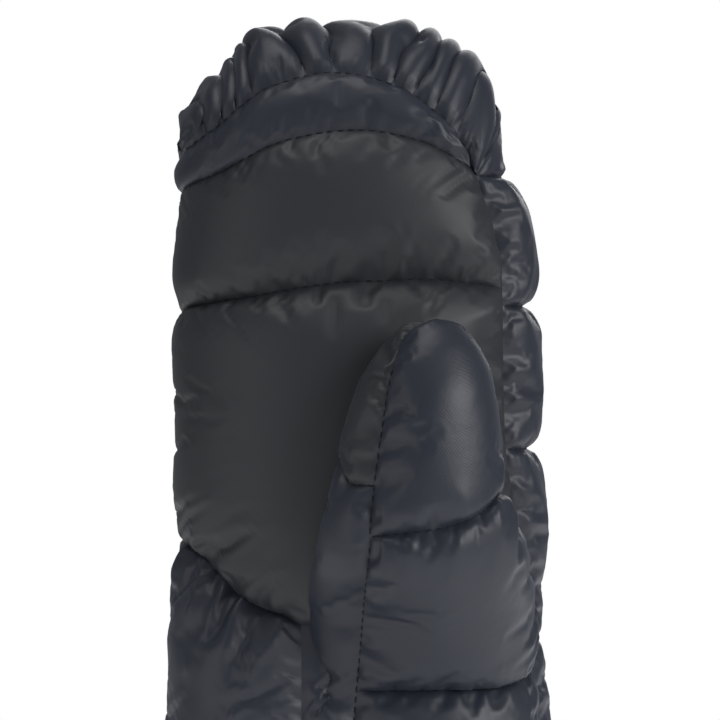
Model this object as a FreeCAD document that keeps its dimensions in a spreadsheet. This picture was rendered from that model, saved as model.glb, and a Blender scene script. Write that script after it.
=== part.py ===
import FreeCAD, Part
import os
import re

import Sketcher

# A right-hand padded ski mitten, standing on its cuff hem with the fingers up.
# X runs across the hand towards the thumb, -Y is the palm side and Z is up.
# The origin is the centre of the cuff's mouth, level with the hem it stands on.
# The hand and the thumb are each a stack of nested forms. The space between two
# neighbouring forms is one layer: shell cloth, fill, waterproof membrane, lining.

SIZES = [
    ("cuff_mouth_half_width", 66, "cuff at its hem"),
    ("cuff_mouth_half_depth", 42, "cuff at its hem"),
    ("wrist_height", 84, "where the elastic sits and the wrist bends"),
    ("wrist_half_width", 61, "hand form at the wrist"),
    ("wrist_half_depth", 36, "hand form at the wrist"),
    ("palm_half_width", 63, "widest place, across the palm"),
    ("palm_half_depth", 37, "thickest place, across the palm"),
    ("palm_height", 138, "where the palm is widest"),
    ("finger_seam_height", 205, "quilting seam at the root of the fingers"),
    ("finger_root_half_width", 60, "hand form at the finger seam"),
    ("finger_root_half_depth", 36, "hand form at the finger seam"),
    ("cap_height", 240, "where the round fingertip begins"),
    ("cap_half_width", 57, "hand form where the fingertip begins"),
    ("cap_half_depth", 33, "hand form where the fingertip begins"),
    ("tip_height", 301, "top of the fingertip"),
    ("thumb_seam_height", 128, "seam that the thumb bends at"),
    ("thumb_seam_tilt", 12, "how far that seam rises to the side, degrees"),
    ("thumb_centre", 21, "thumb, to the side of the middle"),
    ("thumb_root_half_width", 32, "thumb at its seam"),
    ("thumb_middle_half_width", 24.5, "thumb where its round end begins"),
    ("thumb_half_depth", 18.5, "thumb, front to back"),
    ("thumb_middle_height", 160, "where the thumb's round end begins"),
    ("thumb_tip_height", 196, "top of the thumb"),
    ("thumb_tip_lean", 5, "how far the tip leans outwards"),
    ("thumb_palm_gap", 1.5, "air between thumb and palm"),
    ("shell_thickness", 1, "outer cloth with its backing"),
    ("fill_thickness", 9, "fill round the hand"),
    ("thumb_fill_thickness", 5, "fill round the thumb"),
    ("membrane_thickness", 0.5, "waterproof insert"),
    ("lining_thickness", 1.5, "fleece"),
    ("layer_gap", 0.1, "air between one layer and the next"),
    ("bend_gap", 0.6, "room between two bodies at a bending seam"),
    ("tip_cap_rise", 35, "height of the smooth cap above the palm panel's side corner"),
    ("tip_cap_centre", -9, "middle of the smooth cap"),
    ("tip_cap_half_width", 50.5, "half the width of the smooth cap"),
    ("tip_cap_corner_height", 246, "corners of the smooth cap"),
    ("palm_top_height", 238, "top corner of the palm panel on the outer side"),
    ("palm_top_sagitta", 17, "crown of the seam under the smooth cap"),
    ("palm_thumb_edge", 48, "palm panel's edge on the thumb side"),
    ("palm_heel_height", 122, "lower corner of the palm panel on the outer side"),
    ("palm_heel_crotch_height", 92, "lower corner of the palm panel beside the thumb"),
    ("palm_heel_sagitta", 5, "sag of the gathered seam under the palm"),
    ("crotch_side", -19, "where the palm panel's gathered edge meets the thumb"),
    ("long_seam_low", -2, "thumb's long seam at the hem, sideways"),
    ("long_seam_high", 13, "thumb's long seam near the thumb tip, sideways"),
    ("grip_patch_height", 146, "lower edge of the grip patch on the thumb"),
    ("back_seam_tip", 245, "quilting seam between two back baffles"),
    ("back_seam_knuckle", 151, "quilting seam between two back baffles"),
    ("hem_binding_height", 12, "folded hem"),
    ("elastic_inset", 3, "depth of both elastics under the cloth"),
    ("elastic_thickness", 1.5, "both elastics"),
    ("wrist_elastic_width", 8, "elastic inside the wrist"),
    ("hem_elastic_width", 6, "elastic inside the hem"),
    ("label_width", 24, "blank care label inside the cuff"),
    ("label_length", 26, "blank care label inside the cuff"),
    ("label_thickness", 0.6, "blank care label inside the cuff"),
    ("label_height", 22, "lower edge of the blank care label"),
]

REACH = 120
DOME_ANGLES = [22, 44, 62, 76, 85]
SMOOTH_DEGREE = 3
TOO_SMALL_MM3 = 1.0

# Proportions of the soft swellings, which have no size of their own
CUFF_SWELL = 1
ROOT_FOOT_DROP = 8
ROOT_FOOT_NARROWING = 6
ROOT_FOOT_FORWARD_SHARE = 0.25
ROOT_FOOT_DEPTH_SHARE = 0.55
ROOT_START_CLIMB_SHARE = 0.318
ROOT_START_FORWARD_SHARE = 0.47
ROOT_START_WIDENING = 7
ROOT_START_DEPTH_SHARE = 1.8
ROOT_MIDDLE_CLIMB_SHARE = 0.659
ROOT_MIDDLE_FORWARD_SHARE = 0.84
ROOT_MIDDLE_WIDENING = 5
ROOT_MIDDLE_DEPTH_SHARE = 1.45
ROOT_TOP_DEEPENING = 1
ROOT_SIDE_DEPTH_SHARE = 1 / 3
ROOT_SIDE_BELOW_PATCH = 9
HEEL_CHORD_ALLOWANCE = 8
ELASTIC_BELOW_WRIST = 2

doc = FreeCAD.newDocument("ski_mitten")
sizes = doc.addObject("Spreadsheet::Sheet", "Sizes")
for row, (alias, value, note) in enumerate(SIZES, start=1):
    sizes.set(f"A{row}", alias)
    sizes.set(f"B{row}", str(value))
    sizes.setAlias(f"B{row}", alias)
    sizes.set(f"C{row}", note)
doc.recompute()

ALIASES = {alias for alias, value, note in SIZES}


def on_sheet(text):
    """Turn an expression of plain size names into one that names the sheet."""
    return re.sub(r"[a-z_]+", lambda word: sheet_word(word.group(0)), str(text))


def sheet_word(word):
    return f"Sizes.{word}" if word in ALIASES else word


def number(text):
    """The value that an expression of size names has now."""
    return float(sizes.evalExpression(on_sheet(text)))


def bind(piece, field, text):
    piece.setExpression(field, on_sheet(text))


# Building blocks

def ellipse(name, side, back, height, half_width, half_depth):
    piece = doc.addObject("Part::Ellipse", name)
    bind(piece, "MajorRadius", half_width)
    bind(piece, "MinorRadius", half_depth)
    bind(piece, "Placement.Base.x", side)
    bind(piece, "Placement.Base.y", back)
    bind(piece, "Placement.Base.z", height)
    return piece


def loft(name, sections):
    piece = doc.addObject("Part::Loft", name)
    piece.Sections = [ellipse(f"{name}_section", *section) for section in sections]
    piece.Solid = True
    piece.Ruled = False
    piece.MaxDegree = SMOOTH_DEGREE
    return piece


def slab(name, low, high):
    """A box between two corners, each given as three expressions."""
    piece = doc.addObject("Part::Box", name)
    for axis, field, start, end in zip("xyz", ("Length", "Width", "Height"), low, high):
        bind(piece, f"Placement.Base.{axis}", start)
        bind(piece, field, f"({end}) - ({start})")
    return piece


def common(name, base, tool):
    piece = doc.addObject("Part::Common", name)
    piece.Base = base
    piece.Tool = tool
    return piece


def cut(name, base, tool):
    piece = doc.addObject("Part::Cut", name)
    piece.Base = base
    piece.Tool = tool
    return piece


def fuse(name, pieces):
    piece = doc.addObject("Part::MultiFuse", name)
    piece.Shapes = pieces
    return piece


def arc_through(start, end, radius, bulge_up):
    """An arc between two points of the front view, crowned up or sagging down."""
    chord = end - start
    middle = (start + end) / 2
    across = FreeCAD.Vector(-chord.y, chord.x, 0).normalize()
    if (across.y > 0) != bulge_up:
        across = across * -1
    rise = radius - (radius ** 2 - (chord.Length / 2) ** 2) ** 0.5
    return Part.Arc(start, middle + across * rise, end)


def front_outline(name, corners, arcs, reach_front, reach_back):
    """A prism along Y whose outline is drawn in the front view.

    corners are (side, height) expressions in order. arcs maps the number of an
    edge to (radius expression, bulge_up); every other edge is straight.
    """
    body = doc.addObject("PartDesign::Body", name)
    plane = next(f for f in body.Origin.OriginFeatures if f.Role == "XZ_Plane")
    sketch = body.newObject("Sketcher::SketchObject", f"{name}_sketch")
    sketch.AttachmentSupport = [(plane, "")]
    sketch.MapMode = "FlatFace"
    points = [FreeCAD.Vector(number(side), number(height), 0) for side, height in corners]
    count = len(points)
    ends = []
    for edge in range(count):
        start = points[edge]
        end = points[(edge + 1) % count]
        if edge in arcs:
            radius, bulge_up = arcs[edge]
            curve = arc_through(start, end, number(radius), bulge_up)
            sketch.addGeometry(curve)
            drawn = sketch.Geometry[edge]
            forward = (drawn.StartPoint - start).Length < (drawn.EndPoint - start).Length
            ends.append((1, 2) if forward else (2, 1))
        else:
            sketch.addGeometry(Part.LineSegment(start, end))
            ends.append((1, 2))
    for edge in range(count):
        following = (edge + 1) % count
        sketch.addConstraint(Sketcher.Constraint(
            "Coincident", edge, ends[edge][1], following, ends[following][0]))
    for edge, (side, height) in enumerate(corners):
        for kind, text in (("DistanceX", side), ("DistanceY", height)):
            made = sketch.addConstraint(Sketcher.Constraint(
                kind, -1, 1, edge, ends[edge][0], number(text)))
            bind(sketch, f"Constraints[{made}]", text)
    for edge, (radius, bulge_up) in arcs.items():
        made = sketch.addConstraint(Sketcher.Constraint("Radius", edge, number(radius)))
        bind(sketch, f"Constraints[{made}]", radius)
    pad = body.newObject("PartDesign::Pad", f"{name}_pad")
    pad.Profile = sketch
    pad.Type = "Length"
    pad.SideType = "Two sides"
    pad.Length = reach_front
    pad.Length2 = reach_back
    return body


def radius_of(half_chord, sagitta):
    return f"((({half_chord})^2) + ({sagitta})^2) / (2 * ({sagitta}))"


# Nested forms

LAYERS = ["shell", "fill", "membrane", "lining"]


def insets(fill_name):
    """How far each face of each layer lies inside the outer cloth, as expressions."""
    thickness = {"shell": "shell_thickness", "fill": fill_name,
                 "membrane": "membrane_thickness", "lining": "lining_thickness"}
    found = {}
    depth = "0"
    for name in LAYERS:
        found[f"{name}_out"] = depth
        depth = f"{depth} + {thickness[name]}"
        found[f"{name}_in"] = depth
        depth = f"{depth} + layer_gap"
    return found


HAND_INSETS = insets("fill_thickness")
THUMB_INSETS = insets("thumb_fill_thickness")


def dome(side, back, start, top, half_width, half_depth, inset, lean="0"):
    """Sections of a round end: a quarter of an ellipse, level by level."""
    rise = f"(({top}) - ({start}) - ({inset}))"
    return [
        (
            f"({side}) + ({lean}) * sin({angle}deg)",
            back,
            f"({start}) + {rise} * sin({angle}deg)",
            f"(({half_width}) - ({inset})) * cos({angle}deg)",
            f"(({half_depth}) - ({inset})) * cos({angle}deg)",
        )
        for angle in DOME_ANGLES
    ]


def hand_form(name, inset):
    upright = [
        ("0", "cuff_mouth_half_width", "cuff_mouth_half_depth"),
        ("wrist_height / 2", f"(cuff_mouth_half_width + wrist_half_width) / 2 + {CUFF_SWELL}",
         "(cuff_mouth_half_depth + wrist_half_depth) / 2"),
        ("wrist_height", "wrist_half_width", "wrist_half_depth"),
        ("palm_height", "palm_half_width", "palm_half_depth"),
        ("finger_seam_height", "finger_root_half_width", "finger_root_half_depth"),
        ("cap_height", "cap_half_width", "cap_half_depth"),
    ]
    sections = [
        ("0", "0", height, f"{half_width} - ({inset})", f"{half_depth} - ({inset})")
        for height, half_width, half_depth in upright
    ]
    sections += dome("0", "0", "cap_height", "tip_height",
                     "cap_half_width", "cap_half_depth", inset)
    return loft(name, sections)


THUMB_BACK = "(0 - (palm_half_depth + thumb_palm_gap + thumb_half_depth))"
PALM_FACE = "0 - palm_half_depth - thumb_palm_gap / 2"


def thumb_form(name, inset):
    """The thumb with its root, which swells out of the hand just above the wrist."""
    climb = "(thumb_seam_height - wrist_height)"
    upright = [
        (
            f"wrist_height - {ROOT_FOOT_DROP}",
            f"0 - wrist_half_depth * {ROOT_FOOT_FORWARD_SHARE}",
            f"thumb_root_half_width - {ROOT_FOOT_NARROWING}",
            f"wrist_half_depth * {ROOT_FOOT_DEPTH_SHARE}",
        ),
        (
            f"(wrist_height + {climb} * {ROOT_START_CLIMB_SHARE})",
            f"{THUMB_BACK} * {ROOT_START_FORWARD_SHARE}",
            f"thumb_root_half_width + {ROOT_START_WIDENING}",
            f"thumb_half_depth * {ROOT_START_DEPTH_SHARE}",
        ),
        (
            f"(wrist_height + {climb} * {ROOT_MIDDLE_CLIMB_SHARE})",
            f"{THUMB_BACK} * {ROOT_MIDDLE_FORWARD_SHARE}",
            f"thumb_root_half_width + {ROOT_MIDDLE_WIDENING}",
            f"thumb_half_depth * {ROOT_MIDDLE_DEPTH_SHARE}",
        ),
        (
            "thumb_seam_height",
            f"{THUMB_BACK}",
            "thumb_root_half_width",
            f"thumb_half_depth + {ROOT_TOP_DEEPENING}",
        ),
        ("thumb_middle_height", f"{THUMB_BACK}", "thumb_middle_half_width", "thumb_half_depth"),
    ]
    sections = [
        ("thumb_centre", back, height, f"{half_width} - ({inset})", f"{half_depth} - ({inset})")
        for height, back, half_width, half_depth in upright
    ]
    sections += dome("thumb_centre", THUMB_BACK, "thumb_middle_height", "thumb_tip_height",
                     "thumb_middle_half_width", "thumb_half_depth", inset, "thumb_tip_lean")
    return loft(name, sections)


# The thumb's seam is a sloping line in the front view. Below it the thumb's root
# belongs to the hand, and above it the thumb is a body of its own.

def thumb_seam_corner(side, offset):
    slope = "tan(thumb_seam_tilt * 1deg)"
    height = f"thumb_seam_height + ({side} - thumb_centre) * {slope} + ({offset})"
    return (side, height)


below_thumb_seam = front_outline("below_thumb_seam", [
    (f"-{REACH}", "0"),
    (f"{REACH}", "0"),
    thumb_seam_corner(f"{REACH}", "0 - bend_gap / 2"),
    thumb_seam_corner(f"-{REACH}", "0 - bend_gap / 2"),
], {}, REACH, REACH)
above_thumb_seam = front_outline("above_thumb_seam", [
    thumb_seam_corner(f"-{REACH}", "bend_gap / 2"),
    thumb_seam_corner(f"{REACH}", "bend_gap / 2"),
    (f"{REACH}", f"thumb_tip_height + {REACH}"),
    (f"-{REACH}", f"thumb_tip_height + {REACH}"),
], {}, REACH, REACH)

hand_forms = {level: hand_form(f"hand_form_{level}", inset) for level, inset in HAND_INSETS.items()}
clear_of_palm = hand_form("clear_of_palm", "0 - bend_gap")
whole_forms = {}
thumb_forms = {}
for level, inset in THUMB_INSETS.items():
    whole_thumb = thumb_form(f"thumb_form_{level}", inset)
    root = common(f"root_form_{level}", whole_thumb, below_thumb_seam)
    whole_forms[level] = fuse(f"hand_and_root_{level}", [hand_forms[level], root])
    thumb_forms[level] = common(f"thumb_above_{level}", whole_thumb, above_thumb_seam)


def layer(name, forms, layer_name):
    return cut(name, forms[f"{layer_name}_out"], forms[f"{layer_name}_in"])


hand_layers = {name: layer(f"all_{name}", whole_forms, name) for name in LAYERS}
thumb_layers = {
    name: cut(f"thumb_clear_{name}", layer(f"thumb_all_{name}", thumb_forms, name), clear_of_palm)
    for name in LAYERS
}


# Bodies: cuff, hand, fingers and thumb

def level_slab(name, low, high):
    return slab(name, (f"-{REACH}", f"-{REACH}", low), (f"{REACH}", f"{REACH}", high))


cuff_zone = level_slab("cuff_zone", "hem_binding_height", "wrist_height - bend_gap / 2")
hand_zone = level_slab(
    "hand_zone", "wrist_height + bend_gap / 2", "finger_seam_height - bend_gap / 2")
fingers_zone = level_slab(
    "fingers_zone", "finger_seam_height + bend_gap / 2", f"tip_height + {REACH}")
hem_zone = level_slab("hem_zone", "0", "hem_binding_height")
palm_half = slab(
    "palm_half", (f"-{REACH}", f"-{REACH}", "0"), (f"{REACH}", "0", f"tip_height + {REACH}"))
back_half = slab(
    "back_half", (f"-{REACH}", "0", "0"), (f"{REACH}", f"{REACH}", f"tip_height + {REACH}"))


def split(name, piece, tool):
    """The piece inside a cutter and the piece outside it, sharing the cut face."""
    return common(f"{name}_inside", piece, tool), cut(f"{name}_outside", piece, tool)


# Panels, drawn in the front view

tip_cap_outline = front_outline("tip_cap_outline", [
    ("tip_cap_centre - tip_cap_half_width", "tip_cap_corner_height"),
    ("tip_cap_centre - tip_cap_half_width", "palm_height"),
    ("tip_cap_centre + tip_cap_half_width", "palm_height"),
    ("tip_cap_centre + tip_cap_half_width", "tip_cap_corner_height"),
], {3: (radius_of("tip_cap_half_width", "tip_cap_rise"), True)}, REACH, 0)
palm_outline = front_outline("palm_outline", [
    (f"-{REACH}", "palm_top_height"),
    (f"-{REACH}", "palm_heel_height"),
    ("0 - palm_half_width", "palm_heel_height"),
    ("crotch_side", "palm_heel_crotch_height"),
    ("palm_thumb_edge", "palm_heel_crotch_height"),
    ("palm_thumb_edge", "finger_seam_height"),
    ("tip_cap_centre + tip_cap_half_width", "tip_cap_corner_height"),
    ("0 - palm_half_width", "palm_top_height"),
], {
    2: (radius_of(f"(palm_half_width + crotch_side) / 2 + {HEEL_CHORD_ALLOWANCE}",
                  "palm_heel_sagitta"), False),
    6: (radius_of("(palm_half_width + tip_cap_centre + tip_cap_half_width) / 2",
                  "palm_top_sagitta"), True),
}, REACH, 0)
outer_side_of_long_seam = front_outline("outer_side_of_long_seam", [
    (f"-{REACH}", "0"),
    ("long_seam_low", "0"),
    ("long_seam_high", "thumb_tip_height"),
    ("long_seam_high", f"thumb_tip_height + {REACH}"),
    (f"-{REACH}", f"thumb_tip_height + {REACH}"),
], {}, REACH, REACH)


# Finished pieces

finished = []


def piece_of(name, source):
    """Names a finished piece of the mitten."""
    source.Label = name
    finished.append(source)
    return source


def fingers_pieces():
    shell = common("fingers_shell", hand_layers["shell"], fingers_zone)
    palm, rest = split("fingers_palm_cut", shell, palm_outline)
    piece_of("palm_upper_panel", palm)
    cap, rest = split("fingers_cap_cut", rest, tip_cap_outline)
    piece_of("fingertip_cap_panel", cap)
    below_tip_seam = level_slab("below_tip_seam", "0", "back_seam_tip")
    lower, upper = split("fingers_back_cut", rest, below_tip_seam)
    piece_of("finger_back_baffle", lower)
    piece_of("fingertip_back_baffle", upper)
    fill = common("fingers_fill", hand_layers["fill"], fingers_zone)
    piece_of("fingers_palm_fill", common("fingers_fill_front", fill, palm_half))
    piece_of("fingers_back_fill", common("fingers_fill_rear", fill, back_half))
    for name in ("membrane", "lining"):
        piece_of(f"fingers_{name}", common(f"fingers_{name}_part", hand_layers[name], fingers_zone))


def hand_pieces():
    shell = common("hand_shell", hand_layers["shell"], hand_zone)
    knuckle_band = level_slab("knuckle_band", "back_seam_knuckle", "finger_seam_height")
    knuckle_shell, lower_shell = split("hand_band_cut", shell, knuckle_band)
    piece_of("knuckle_back_baffle", cut("knuckle_back_cut", knuckle_shell, palm_outline))
    root_front = slab("root_front", (f"-{REACH}", f"-{REACH}", "0"),
                      (f"{REACH}", PALM_FACE, "palm_height"))
    root_side = slab("root_side", ("palm_thumb_edge", f"-{REACH}", "0"),
                     (f"{REACH}", f"0 - palm_half_depth * {ROOT_SIDE_DEPTH_SHARE}",
                      f"grip_patch_height - {ROOT_SIDE_BELOW_PATCH}"))
    root_zone = fuse("root_zone", [root_front, root_side])
    root, rest = split("hand_root_cut", lower_shell, root_zone)
    strip, base = split("hand_strip_cut", root, outer_side_of_long_seam)
    piece_of("thumb_root_strip", strip)
    piece_of("thumb_root_panel", base)
    palm = cut("hand_palm_cut", common("hand_palm_whole", shell, palm_outline), root_zone)
    piece_of("palm_lower_panel", palm)
    wrist_zone = slab("wrist_zone", (f"-{REACH}", f"-{REACH}", "0"),
                      ("palm_thumb_edge", "0", "palm_height"))
    below_palm = cut("hand_below_palm", rest, palm_outline)
    wrist, rest = split("hand_wrist_cut", below_palm, wrist_zone)
    piece_of("wrist_palm_panel", wrist)
    piece_of("hand_back_baffle", rest)
    fill = common("hand_fill", hand_layers["fill"], hand_zone)
    front = common("hand_fill_front", fill, palm_half)
    piece_of("hand_back_fill", common("hand_fill_rear", fill, back_half))
    root_fill_zone = slab("root_fill_zone", (f"-{REACH}", f"-{REACH}", "0"),
                          (f"{REACH}", f"{PALM_FACE} + shell_thickness", "palm_height"))
    root_fill, palm_fill = split("hand_fill_cut", front, root_fill_zone)
    piece_of("thumb_root_fill", root_fill)
    piece_of("hand_palm_fill", palm_fill)
    for name in ("membrane", "lining"):
        piece_of(f"hand_{name}", common(f"hand_{name}_part", hand_layers[name], hand_zone))


def thumb_pieces():
    inner, outer = split("thumb_long_cut", thumb_layers["shell"], outer_side_of_long_seam)
    piece_of("thumb_outer_panel", outer)
    below_grip_patch = level_slab("below_grip_patch", "0", "grip_patch_height")
    strip, patch = split("thumb_patch_cut", inner, below_grip_patch)
    piece_of("thumb_inner_panel", strip)
    piece_of("thumb_grip_patch", patch)
    for name in ("fill", "membrane", "lining"):
        piece_of(f"thumb_{name}", thumb_layers[name])


def elastic(name, low, width):
    outer = hand_form(f"{name}_outer_form", "elastic_inset")
    inner = hand_form(f"{name}_inner_form", "elastic_inset + elastic_thickness")
    band = level_slab(f"{name}_zone", low, f"({low}) + {width}")
    return common(name, cut(f"{name}_ring", outer, inner), band)


def cuff_pieces():
    shell = common("cuff_shell", hand_layers["shell"], cuff_zone)
    front, back = split("cuff_shell_cut", shell, palm_half)
    piece_of("cuff_back_panel", back)
    palm, gusset = split("cuff_front_cut", front, outer_side_of_long_seam)
    piece_of("cuff_palm_panel", palm)
    piece_of("cuff_thumb_gusset", gusset)
    wrist_elastic = elastic(
        "wrist_elastic_band", f"wrist_height - wrist_elastic_width - {ELASTIC_BELOW_WRIST}",
        "wrist_elastic_width")
    piece_of("wrist_elastic", wrist_elastic)
    fill = common("cuff_fill", hand_layers["fill"], cuff_zone)
    for side, half in (("palm", palm_half), ("back", back_half)):
        whole = common(f"cuff_{side}_part", fill, half)
        piece_of(f"cuff_{side}_fill", cut(f"cuff_{side}_channel", whole, wrist_elastic))
    piece_of("cuff_lining", common("cuff_lining_part", hand_layers["lining"], cuff_zone))
    hem_elastic = elastic(
        "hem_elastic_band", "(hem_binding_height - hem_elastic_width) / 2", "hem_elastic_width")
    piece_of("hem_elastic", hem_elastic)
    hem_walls = cut("hem_walls", hand_forms["shell_out"], hand_forms["lining_in"])
    hem_ring = common("hem_ring", hem_walls, hem_zone)
    piece_of("hem_binding", cut("hem_hollowed", hem_ring, hem_elastic))
    label_back = hand_form("label_back", f"{HAND_INSETS['lining_in']} + layer_gap")
    label_face = hand_form(
        "label_face", f"{HAND_INSETS['lining_in']} + layer_gap + label_thickness")
    label_zone = slab("label_zone", ("0 - label_width / 2", "0", "label_height"),
                      ("label_width / 2", f"{REACH}", "label_height + label_length"))
    label_skin = cut("label_skin", label_back, label_face)
    piece_of("care_label", common("label_patch", label_skin, label_zone))


fingers_pieces()
hand_pieces()
thumb_pieces()
cuff_pieces()
doc.recompute()

# Every object is checked before anything is written.

faults = [
    f"{piece.Name}: {piece.State}"
    for piece in doc.Objects
    if "Invalid" in piece.State or "Error" in piece.State
]
for piece in finished:
    shape = piece.Shape
    if shape.isNull() or not shape.isValid() or not shape.Solids or shape.Volume < TOO_SMALL_MM3:
        faults.append(f"{piece.Label}: no valid solid")
if faults:
    raise SystemExit("the mitten can't be built:\n" + "\n".join(faults))

os.makedirs("parts", exist_ok=True)
for piece in finished:
    shape = piece.Shape
    shape.exportStep(f"parts/{piece.Label}.step")
    box = shape.BoundBox
    print(f"{piece.Label:24s} solids {len(shape.Solids)} volume {shape.Volume:9.0f} mm3  "
          f"x {box.XMin:6.1f}..{box.XMax:6.1f} y {box.YMin:6.1f}..{box.YMax:6.1f} "
          f"z {box.ZMin:6.1f}..{box.ZMax:6.1f}")
print(len(finished), "pieces")
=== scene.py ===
# %% [markdown]
# # A padded ski mitten, panel by panel
# The mitten is a bag of sewn and filled panels. The frame gives the places and the bodies, and
# every panel below is cut, laid on the hand's form, blown up as cloth and sewn to its
# neighbours along shared seam lines.

# %% Load the frame
import bpy
import math
import numpy as np
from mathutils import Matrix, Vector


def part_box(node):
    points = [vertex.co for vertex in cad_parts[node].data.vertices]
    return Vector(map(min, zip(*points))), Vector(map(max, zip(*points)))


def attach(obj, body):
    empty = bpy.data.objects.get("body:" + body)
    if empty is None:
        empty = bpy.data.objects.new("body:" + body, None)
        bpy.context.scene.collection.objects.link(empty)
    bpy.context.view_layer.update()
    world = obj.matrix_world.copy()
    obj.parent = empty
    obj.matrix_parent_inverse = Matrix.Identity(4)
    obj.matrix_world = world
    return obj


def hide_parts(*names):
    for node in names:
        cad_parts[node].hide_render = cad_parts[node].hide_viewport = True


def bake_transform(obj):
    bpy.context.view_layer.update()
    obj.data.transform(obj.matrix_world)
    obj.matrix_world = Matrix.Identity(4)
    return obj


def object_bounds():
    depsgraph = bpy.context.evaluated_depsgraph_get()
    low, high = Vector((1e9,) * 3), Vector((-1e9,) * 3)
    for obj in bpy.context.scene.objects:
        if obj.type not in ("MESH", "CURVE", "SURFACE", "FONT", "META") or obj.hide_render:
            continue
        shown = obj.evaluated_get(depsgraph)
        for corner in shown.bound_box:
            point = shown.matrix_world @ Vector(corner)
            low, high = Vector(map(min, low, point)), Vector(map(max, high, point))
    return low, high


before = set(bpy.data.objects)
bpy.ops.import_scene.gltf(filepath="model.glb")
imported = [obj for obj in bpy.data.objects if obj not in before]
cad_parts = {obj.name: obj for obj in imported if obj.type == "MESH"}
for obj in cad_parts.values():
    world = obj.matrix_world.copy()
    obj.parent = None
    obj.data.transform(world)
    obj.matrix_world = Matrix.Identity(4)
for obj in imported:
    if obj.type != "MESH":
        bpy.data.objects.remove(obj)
for spare in ("Cube", "Light", "Camera"):
    if spare in bpy.data.objects:
        bpy.data.objects.remove(bpy.data.objects[spare])
frame_low, frame_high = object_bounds()
print("frame box, metres:", [round(v, 3) for v in (*frame_low, *frame_high)])

# %% [markdown]
# ## Camera, light and floor
# A mitten is shown straight from the palm with a long lens, so that the fingers and the cuff
# keep one scale. The studio is a pale floor with large soft lamps: satin cloth only shows its
# folds when a wide lamp is mirrored in them.

# %% Camera
MM = 0.001
MIDDLE = (frame_low + frame_high) / 2
LENS_DISTANCE = 1.9
VIEW_TALL = 0.2448
VIEW_CENTRE_X = 0.0005
VIEW_CENTRE_Z = 0.1817
scene = bpy.context.scene
lens = bpy.data.cameras.new("studio_camera")
camera = bpy.data.objects.new("studio_camera", lens)
scene.collection.objects.link(camera)
camera.location = (VIEW_CENTRE_X, -LENS_DISTANCE, VIEW_CENTRE_Z)
camera.rotation_euler = (math.radians(90), 0, 0)
FRONT_DEPTH = 0.04
lens.lens = lens.sensor_width * (LENS_DISTANCE - FRONT_DEPTH) / VIEW_TALL
lens.clip_end = 20
scene.camera = camera
scene.view_settings.view_transform = "Standard"
print("lens, mm:", round(lens.lens, 1))

# %% Soft lamps
def soft_lamp(name, place, target_height, wide, power):
    lamp = bpy.data.lights.new(name, "AREA")
    lamp.shape = "RECTANGLE"
    lamp.size = wide
    lamp.size_y = wide
    lamp.energy = power
    holder = bpy.data.objects.new(name, lamp)
    scene.collection.objects.link(holder)
    holder.location = place
    towards = MIDDLE.copy()
    towards.z = target_height
    holder.rotation_euler = (towards - holder.location).to_track_quat("-Z", "Y").to_euler()


soft_lamp("key_lamp", (1.15, -0.85, 0.6), 0.17, 0.8, 11)
soft_lamp("fill_lamp", (-1.2, -0.9, 0.35), 0.16, 0.9, 2.2)
soft_lamp("top_lamp", (-0.1, -0.25, 1.2), 0.2, 0.6, 3)
soft_lamp("back_lamp", (0.3, 1.3, 0.8), 0.15, 0.9, 6)

# %% Floor and room
room = bpy.data.worlds.new("pale_room")
scene.world = room
room.use_nodes = True
nodes = room.node_tree.nodes
links = room.node_tree.links
seen = nodes.new("ShaderNodeBackground")
seen.inputs["Color"].default_value = (1, 1, 1, 1)
seen.inputs["Strength"].default_value = 1.0
shining = nodes["Background"]
shining.inputs["Color"].default_value = (0.9, 0.95, 1.0, 1)
shining.inputs["Strength"].default_value = 0.2
kind_of_ray = nodes.new("ShaderNodeLightPath")
either = nodes.new("ShaderNodeMixShader")
links.new(kind_of_ray.outputs["Is Camera Ray"], either.inputs["Fac"])
links.new(shining.outputs["Background"], either.inputs[1])
links.new(seen.outputs["Background"], either.inputs[2])
links.new(either.outputs["Shader"], nodes["World Output"].inputs["Surface"])

FLOOR_RADIUS = 0.62
FLOOR_SIDES = 96
floor_mesh = bpy.data.meshes.new("floor")
floor_turns = [2 * math.pi * k / FLOOR_SIDES for k in range(FLOOR_SIDES)]
floor_mesh.from_pydata(
    [(math.cos(t) * FLOOR_RADIUS, math.sin(t) * FLOOR_RADIUS, frame_low.z) for t in floor_turns],
    [],
    [tuple(range(FLOOR_SIDES))],
)
floor = bpy.data.objects.new("floor", floor_mesh)
scene.collection.objects.link(floor)
floor_paint = bpy.data.materials.new("floor_paint")
floor_paint.use_nodes = True
paint = floor_paint.node_tree.nodes["Principled BSDF"]
paint.inputs["Base Color"].default_value = (0.86, 0.86, 0.87, 1)
paint.inputs["Roughness"].default_value = 0.7
paint.inputs["Emission Color"].default_value = (1, 1, 1, 1)
paint.inputs["Emission Strength"].default_value = 0.4
floor_mesh.materials.append(floor_paint)

# %% [markdown]
# ## The hand's form
# Every panel lies on one soft form: flattened rounds stacked from the cuff to the fingertips.
# Lengths here are in millimetres, because a pattern cutter thinks in them. The seams lie a few
# millimetres inside the form and the filling pushes the cloth out between them.

# %% Heights and widths of the form
def top_of(node, axis=2):
    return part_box(node)[1][axis] / MM


def foot_of(node, axis=2):
    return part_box(node)[0][axis] / MM


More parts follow.
